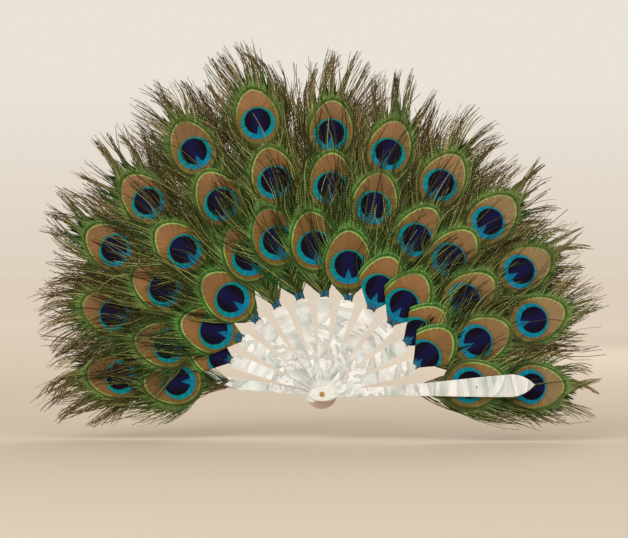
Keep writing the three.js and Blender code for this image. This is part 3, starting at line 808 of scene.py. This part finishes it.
def build_feathers(tier, sizes, eye):
    material = eye_feather_material(tier["name"], sizes, eye)
    for blade in range(BLADES):
        if not tier["shares"][blade]:
            continue
        feather = Feather(tier, blade, sizes)
        add_rachis(feather)
        add_eye_sheet(feather, 1)
        add_eye_sheet(feather, -1)
        rim_barbs(feather)
        stem_barbs(feather)
        under_barbs(feather)
        stray_barbs(feather)
        piece = add_piece(f"{tier['name']}_dressed_{blade:02d}", feather, material)
        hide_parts(f"{tier['name']}_{blade:02d}")


def blue_tuft_material():
    n = Nodes("blue_tuft")
    barb, along = n.uv("Barb")
    grain = n.noise(n.join(n.times(barb, 60), n.times(along, 40)), 1.0, detail=2)
    colour = n.ramp(
        grain,
        (0.30, linear(8, 22, 34)),
        (0.48, linear(12, 80, 116)),
        (0.60, linear(22, 118, 148)),
        (0.75, linear(48, 144, 134)),
    )
    n.set(Base_Color=colour, Specular_IOR_Level=0.3)
    n.set(Roughness=n.plus(0.3, n.times(grain, 0.2)))
    n.bump(grain, 0.0002, 0.25)
    return n.material


def build_tufts(sizes):
    """Short blue barbs, cut off ragged, over the outer end of every inner stick."""
    material = blue_tuft_material()
    for blade in range(1, LAST):
        feather = Feather(INNER, blade, sizes)
        feather.random = np.random.default_rng(77 + blade)
        rng, count = feather.random, 70
        side = rng.choice((-1.0, 1.0), count)
        u = side * rng.uniform(0.7, 3.4, count)
        v = rng.uniform(0.4, 1.2, count) - feather.length
        lean = 0.05 * u + rng.normal(0.0, 0.05, count)
        length = rng.uniform(4.6, 6.2, count) * np.where(side > 0, *rng.uniform(0.75, 1.15, 2))
        add_strands(
            feather, u, v, lean, rng.normal(0, 0.08, count), length, rng.uniform(*TUFT_WIDTHS, count),
            rng.uniform(*TUFT_ROOTS, count), rng.uniform(*TUFT_TIPS, count),
        )
        add_piece(f"blue_tuft_{blade:02d}", feather, material)


def nacre_material():
    """Polished mother-of-pearl: cloudy white with faint pink and green, and fine growth lines, with painted
    shade on the lower heads behind the front guard.
    """
    n = Nodes("mother_of_pearl")
    x, y, z = n.split(n.object_place())
    reach = n.math("SQRT", n.plus(n.times(x, x), n.times(z, z)))
    turn = n.math("ARCTAN2", z, x)
    place = n.join(n.times(reach, 60), n.times(turn, 2.4), n.times(y, 420))
    layers = n.noise(place, 0.7, detail=3, rough=0.5, warp=1.0)
    folds = n.math("FRACT", n.times(layers, 4))
    cloud = n.noise(place, 1.1, detail=4, rough=0.6, warp=0.5)
    tint = n.noise(place, 0.6, detail=2, warp=0.8)
    sheets = n.ramp(
        folds,
        (0.00, linear(206, 210, 206)),
        (0.45, linear(236, 238, 236)),
        (0.85, linear(255, 255, 255)),
        (0.97, linear(255, 255, 255)),
        (1.00, linear(222, 226, 222)),
    )
    clouds = n.ramp(
        cloud,
        (0.38, linear(184, 190, 188)),
        (0.46, linear(220, 224, 220)),
        (0.53, linear(244, 247, 246)),
        (0.60, linear(255, 255, 255)),
    )
    colour = n.mix(0.5, sheets, clouds, blend="MULTIPLY")
    blush = n.ramp(
        tint,
        (0.38, linear(232, 242, 238)),
        (0.48, linear(253, 254, 255)),
        (0.58, linear(255, 245, 242)),
        (0.68, linear(240, 246, 255)),
    )
    colour = n.mix(0.6, colour, blush, blend="MULTIPLY")
    core = n.step(reach, 0.018, 0.011)
    colour = n.mix(n.times(core, 0.75), colour, linear(244, 244, 238))
    # Painted shade: the lower heads of the rear sticks, below the rivet and behind the front guard's oval, are
    # tinted brownish as if in the guard's shadow
    shaded_heads = n.times(n.step(z, -0.003, -0.009), n.step(y, -0.0085, -0.0065))
    colour = n.mix(n.times(shaded_heads, 0.8), colour, linear(196, 158, 136))
    n.set(Base_Color=colour, Specular_IOR_Level=0.7)
    n.set(Roughness=n.plus(0.14, n.times(cloud, 0.12)))
    n.set(Coat_Weight=0.7, Coat_Roughness=0.04)
    waves = n.noise(place, 0.9, detail=2, warp=0.6)
    n.bump(n.times(waves, n.minus(1.0, core)), 0.004, 0.6)
    return n.material


def gold_material():
    n = Nodes("polished_gold")
    wear = n.noise(n.object_place(), 900, detail=2)
    colour = n.mix(wear, linear(196, 146, 70), linear(236, 196, 118))
    n.set(Base_Color=colour, Metallic=1.0)
    n.set(Roughness=n.plus(0.15, n.times(wear, 0.12)))
    n.bump(wear, 0.00005, 0.2)
    return n.material


def give_material(node, material):
    slots = node.data.materials
    slots.clear()
    slots.append(material)


def length(name, description, millimetres):
    return FloatProperty(
        name=name, description=description, default=millimetres * MM, min=0, unit="LENGTH", precision=4
    )


def number(name, description, default):
    return IntProperty(name=name, description=description, default=default, min=1)


def share(name, description, default):
    return FloatProperty(name=name, description=description, default=default, min=0, max=1, subtype="FACTOR")


def colour(name, description, red, green, blue):
    return FloatVectorProperty(
        name=name, description=description, subtype="COLOR", size=3, min=0, max=1,
        default=linear(red, green, blue),
    )


FEATHER_SETTINGS = (
    ("eye_width", length, "Eye width", "Across the bronze disc of the eye"),
    ("barb_length", length, "Barb length", "Longest loose barbs past the eye"),
    ("stem_length", length, "Stem barb length", "Longest barbs along the quill"),
    ("rim_barbs", number, "Rim barbs", "Barbs that pass the eye's rim"),
    ("stem_barbs", number, "Stem barbs", "Barbs along 50 mm of quill"),
    ("stray_barbs", number, "Stray barbs", "Long single barbs over the eyes"),
    # The broad barbs at the back are darkened as painted shade between the fine barbs
    ("under_barbs", number, "Under barbs", "Broad dark barbs behind the fine ones"),
    ("long_share", share, "Long share", "Share of long barbs"),
    ("drawn_share", share, "Drawn share", "Share of tufts drawn together to a point"),
    ("pointed_share", share, "Pointed share", "Share of feathers whose tip barbs draw to one point"),
    ("line", colour, "Line", "Thin line round the bronze disc"),
    ("band", colour, "Band", "Dense barbs next to that line"),
    ("fringe", colour, "Fringe", "Light edge of the dense barbs"),
    ("near", colour, "Near barbs", "Loose barbs near the eye"),
    ("far", colour, "Far barbs", "Loose barbs further out"),
    ("end", colour, "Barb ends", "Ends of the loose barbs"),
    ("straw", colour, "Straw barbs", "Single pale barbs"),
    # Painted sheen: single barbs that gleam emerald
    ("emerald", colour, "Emerald barbs", "Single barbs that gleam"),
    ("copper_low", colour, "Bronze, low", "Disc towards the quill"),
    ("copper", colour, "Bronze", "Middle of the disc"),
    ("copper_top", colour, "Bronze, top", "Disc towards the tip"),
    ("copper_edge", colour, "Bronze edge", "Rim of the disc"),
    # Painted light: the bronze's lighter, greyer colour on the fan's right half
    ("copper_right", colour, "Bronze, right", "Disc on the fan's right half"),
    ("quill", colour, "Quill", "Base of the quill"),
)


def feather_settings(**defaults):
    """The sizes and colours that a user can change on one tier of feathers, with its own defaults."""
    settings = {}
    for key, kind, name, description in FEATHER_SETTINGS:
        default = defaults[key]
        values = default if isinstance(default, tuple) else (default,)
        settings[key] = kind(name, description, *values)
    return settings


class OuterFeatherSettings(bpy.types.PropertyGroup):
    __annotations__ = feather_settings(
        eye_width=38.5, barb_length=48, stem_length=115, rim_barbs=330, stem_barbs=66, stray_barbs=4,
        under_barbs=70, long_share=0.75, drawn_share=0.25, pointed_share=0.55,
        line=(164, 178, 108), band=(84, 104, 50), fringe=(118, 152, 80), near=(86, 100, 50),
        far=(108, 90, 60), end=(98, 80, 54), straw=(166, 152, 106), emerald=(44, 140, 84),
        copper_low=(96, 78, 50), copper=(126, 94, 52), copper_top=(150, 110, 78),
        copper_edge=(118, 96, 44), copper_right=(146, 126, 90), quill=(70, 60, 34),
    )


class MiddleFeatherSettings(bpy.types.PropertyGroup):
    __annotations__ = feather_settings(
        eye_width=40, barb_length=60, stem_length=125, rim_barbs=270, stem_barbs=80, stray_barbs=7,
        under_barbs=70, long_share=0.55, drawn_share=0.2, pointed_share=0.25,
        line=(164, 194, 108), band=(78, 100, 46), fringe=(110, 148, 76), near=(78, 84, 44),
        far=(84, 78, 44), end=(80, 68, 42), straw=(150, 154, 92), emerald=(40, 146, 82),
        copper_low=(94, 74, 46), copper=(128, 94, 50), copper_top=(148, 108, 74),
        copper_edge=(118, 96, 42), copper_right=(138, 114, 76), quill=(66, 60, 32),
    )


class InnerFeatherSettings(bpy.types.PropertyGroup):
    __annotations__ = feather_settings(
        eye_width=41, barb_length=54, stem_length=115, rim_barbs=230, stem_barbs=190, stray_barbs=7,
        under_barbs=70, long_share=0.55, drawn_share=0.2, pointed_share=0.1,
        line=(158, 198, 104), band=(68, 102, 46), fringe=(106, 160, 80), near=(68, 88, 44),
        far=(72, 78, 40), end=(58, 56, 32), straw=(146, 156, 88), emerald=(36, 150, 84),
        copper_low=(92, 70, 38), copper=(130, 94, 48), copper_top=(146, 106, 70),
        copper_edge=(120, 96, 42), copper_right=(136, 110, 70), quill=(58, 52, 28),
    )


class EyeSettings(bpy.types.PropertyGroup):
    ring_low: colour("Ring, low", "Turquoise ring towards the quill", 14, 120, 154)
    ring: colour("Ring", "Turquoise ring at its sides", 8, 128, 130)
    ring_top: colour("Ring, top", "Turquoise ring towards the tip", 18, 120, 88)
    heart: colour("Heart", "Middle of the dark blue heart", 22, 22, 62)
    heart_side: colour("Heart lobes", "Lobes of the heart", 20, 14, 28)
    notch: colour("Notch", "Blue wedge below the heart", 14, 106, 150)


class StageSettings(bpy.types.PropertyGroup):
    floor_colour: colour("Floor colour", "Colour of the floor round the fan", 205, 191, 174)
    floor_far: colour("Floor, far", "Colour that it eases into farther off", 243, 233, 221)
    backdrop_low: colour("Backdrop, low", "Beyond the floor", 222, 209, 192)
    backdrop_top: colour("Backdrop, top", "Higher up", 233, 227, 216)
    camera_distance: length("Camera distance", "From the camera to the fan's middle plane", 2200)
    view_width: length("View width", "Width of the picture at the fan's middle plane", 596.6)


class FEATHERFAN_OT_outer_feathers(bpy.types.Operator):
    """Adds the outer eye feathers, one on every blade"""

    bl_idname = "featherfan.outer_feathers"
    bl_label = "Outer Feathers"

    def execute(self, context):
        build_feathers(OUTER, context.scene.feather_fan_outer, context.scene.feather_fan_eye)
        return {"FINISHED"}


class FEATHERFAN_OT_middle_feathers(bpy.types.Operator):
    """Adds the middle eye feathers, one on every blade"""

    bl_idname = "featherfan.middle_feathers"
    bl_label = "Middle Feathers"

    def execute(self, context):
        build_feathers(MIDDLE, context.scene.feather_fan_middle, context.scene.feather_fan_eye)
        return {"FINISHED"}


class FEATHERFAN_OT_inner_feathers(bpy.types.Operator):
    """Adds the inner eye feathers, one on every inner stick"""

    bl_idname = "featherfan.inner_feathers"
    bl_label = "Inner Feathers"

    def execute(self, context):
        build_feathers(INNER, context.scene.feather_fan_inner, context.scene.feather_fan_eye)
        return {"FINISHED"}


class FEATHERFAN_OT_blue_tufts(bpy.types.Operator):
    """Adds the trimmed blue tufts at the sticks' outer ends"""

    bl_idname = "featherfan.blue_tufts"
    bl_label = "Blue Tufts"

    def execute(self, context):
        build_tufts(context.scene.feather_fan_inner)
        return {"FINISHED"}


class FEATHERFAN_OT_mother_of_pearl(bpy.types.Operator):
    """Gives the guards and sticks their mother-of-pearl"""

    bl_idname = "featherfan.mother_of_pearl"
    bl_label = "Mother-of-Pearl"

    def execute(self, context):
        material = nacre_material()
        for name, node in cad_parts.items():
            if "guard" in name or name.startswith("stick"):
                give_material(node, material)
        return {"FINISHED"}


class FEATHERFAN_OT_rivet(bpy.types.Operator):
    """Gives the rivet its polished gold"""

    bl_idname = "featherfan.rivet"
    bl_label = "Rivet"

    def execute(self, context):
        material = gold_material()
        for name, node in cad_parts.items():
            if "rivet" in name:
                give_material(node, material)
        return {"FINISHED"}


def area_light(name, place, aim, size, power, colour=(1, 1, 1)):
    bpy.ops.object.light_add(type="AREA", location=place)
    light = bpy.context.object
    light.name = name
    light.data.shape = "RECTANGLE"
    light.data.size, light.data.size_y = size
    light.data.energy = power
    light.data.color = colour
    direction = Vector(aim) - Vector(place)
    light.rotation_euler = direction.to_track_quat("-Z", "Y").to_euler()


class FEATHERFAN_OT_stage(bpy.types.Operator):
    """Adds the wide floor, the soft lights, the pale backdrop and the camera"""

    bl_idname = "featherfan.stage"
    bl_label = "Stage"

    def light_backdrop(self, context, settings):
        """The pale backdrop beyond the floor, which gets lighter upwards."""
        world = context.scene.world or bpy.data.worlds.new("studio")
        context.scene.world = world
        world.use_nodes = True
        tree = world.node_tree
        direction = tree.nodes.new("ShaderNodeTexCoord").outputs["Generated"]
        parts = tree.nodes.new("ShaderNodeSeparateXYZ")
        tree.links.new(direction, parts.inputs[0])
        ramp = tree.nodes.new("ShaderNodeValToRGB")
        low, top = ramp.color_ramp.elements
        low.position, top.position = 0.0, 0.08
        low.color, top.color = (*settings.backdrop_low, 1), (*settings.backdrop_top, 1)
        tree.links.new(parts.outputs[2], ramp.inputs["Fac"])
        background = tree.nodes["Background"]
        tree.links.new(ramp.outputs["Color"], background.inputs["Color"])
        background.inputs["Strength"].default_value = 1.0

    def execute(self, context):
        settings = context.scene.feather_fan_stage
        deselect_all()
        floor_height = CAD_BOX[0][2] - FLOOR_DROP
        bpy.ops.mesh.primitive_plane_add(size=80, location=(0, 0, floor_height))
        floor = context.object
        floor.name = "floor"
        n = Nodes("pale_floor")
        place = n.object_place()
        cloud = n.noise(place, 3, detail=2)
        reach = n.new("ShaderNodeVectorMath", operation="LENGTH")
        n.link(place, reach.inputs[0])
        far = n.step(reach.outputs["Value"], 0.5, 4.5)
        base = n.mix(far, tuple(settings.floor_colour), tuple(settings.floor_far))
        n.set(Base_Color=n.mix(n.times(cloud, 0.06), base, (0.5, 0.45, 0.4)))
        n.set(Roughness=1.0, Specular_IOR_Level=0.05)
        n.bump(n.noise(place, 400, detail=2), 0.0003, 0.3)
        floor.data.materials.append(n.material)
        bpy.ops.object.transform_apply(location=True, rotation=True, scale=True)

        area_light("key_light", (-1.3, -2.0, 1.6), (0, 0, 0.15), (1.4, 1.4), 30, (0.93, 0.97, 1.0))
        area_light("fill_light", (1.7, -1.8, 0.8), (0, 0, 0.12), (1.6, 1.6), 9)
        area_light("back_light", (0.9, 2.0, 1.5), (0, 0, 0.15), (1.4, 1.4), 12)
        self.light_backdrop(context, settings)
        context.scene.view_settings.view_transform = "Standard"

        place = (VIEW_X, -settings.camera_distance, VIEW_Z)
        bpy.ops.object.camera_add(location=place, rotation=(math.pi / 2, 0, 0))
        camera = context.object
        camera.name = "front_camera"
        camera.data.sensor_width = 36
        camera.data.lens = 36 * settings.camera_distance / settings.view_width
        camera.data.clip_end = 100
        context.scene.camera = camera
        return {"FINISHED"}


STEPS = (
    FEATHERFAN_OT_outer_feathers,
    FEATHERFAN_OT_middle_feathers,
    FEATHERFAN_OT_inner_feathers,
    FEATHERFAN_OT_blue_tufts,
    FEATHERFAN_OT_mother_of_pearl,
    FEATHERFAN_OT_rivet,
    FEATHERFAN_OT_stage,
)


class FEATHERFAN_PT_panel(bpy.types.Panel):
    """The fan's steps and settings"""

    bl_idname = "FEATHERFAN_PT_panel"
    bl_label = "Feather Fan"
    bl_space_type = "VIEW_3D"
    bl_region_type = "UI"
    bl_category = "Feather Fan"

    def draw(self, context):
        for step in STEPS:
            self.layout.operator(step.bl_idname)
        for name, group in SETTINGS.items():
            box = self.layout.box()
            for setting in group.__annotations__:
                box.prop(getattr(context.scene, name), setting)


SETTINGS = {
    "feather_fan_outer": OuterFeatherSettings,
    "feather_fan_middle": MiddleFeatherSettings,
    "feather_fan_inner": InnerFeatherSettings,
    "feather_fan_eye": EyeSettings,
    "feather_fan_stage": StageSettings,
}
CLASSES = (*SETTINGS.values(), *STEPS, FEATHERFAN_PT_panel)


def register():
    for cls in CLASSES:
        bpy.utils.register_class(cls)
    for name, group in SETTINGS.items():
        setattr(bpy.types.Scene, name, PointerProperty(type=group))


def unregister():
    for name in SETTINGS:
        delattr(bpy.types.Scene, name)
    for cls in reversed(CLASSES):
        bpy.utils.unregister_class(cls)


def main():
    register()
    bpy.ops.featherfan.outer_feathers()
    bpy.ops.featherfan.middle_feathers()
    bpy.ops.featherfan.inner_feathers()
    bpy.ops.featherfan.blue_tufts()
    bpy.ops.featherfan.mother_of_pearl()
    bpy.ops.featherfan.rivet()
    bpy.ops.featherfan.stage()


if __name__ == "__main__":
    main()
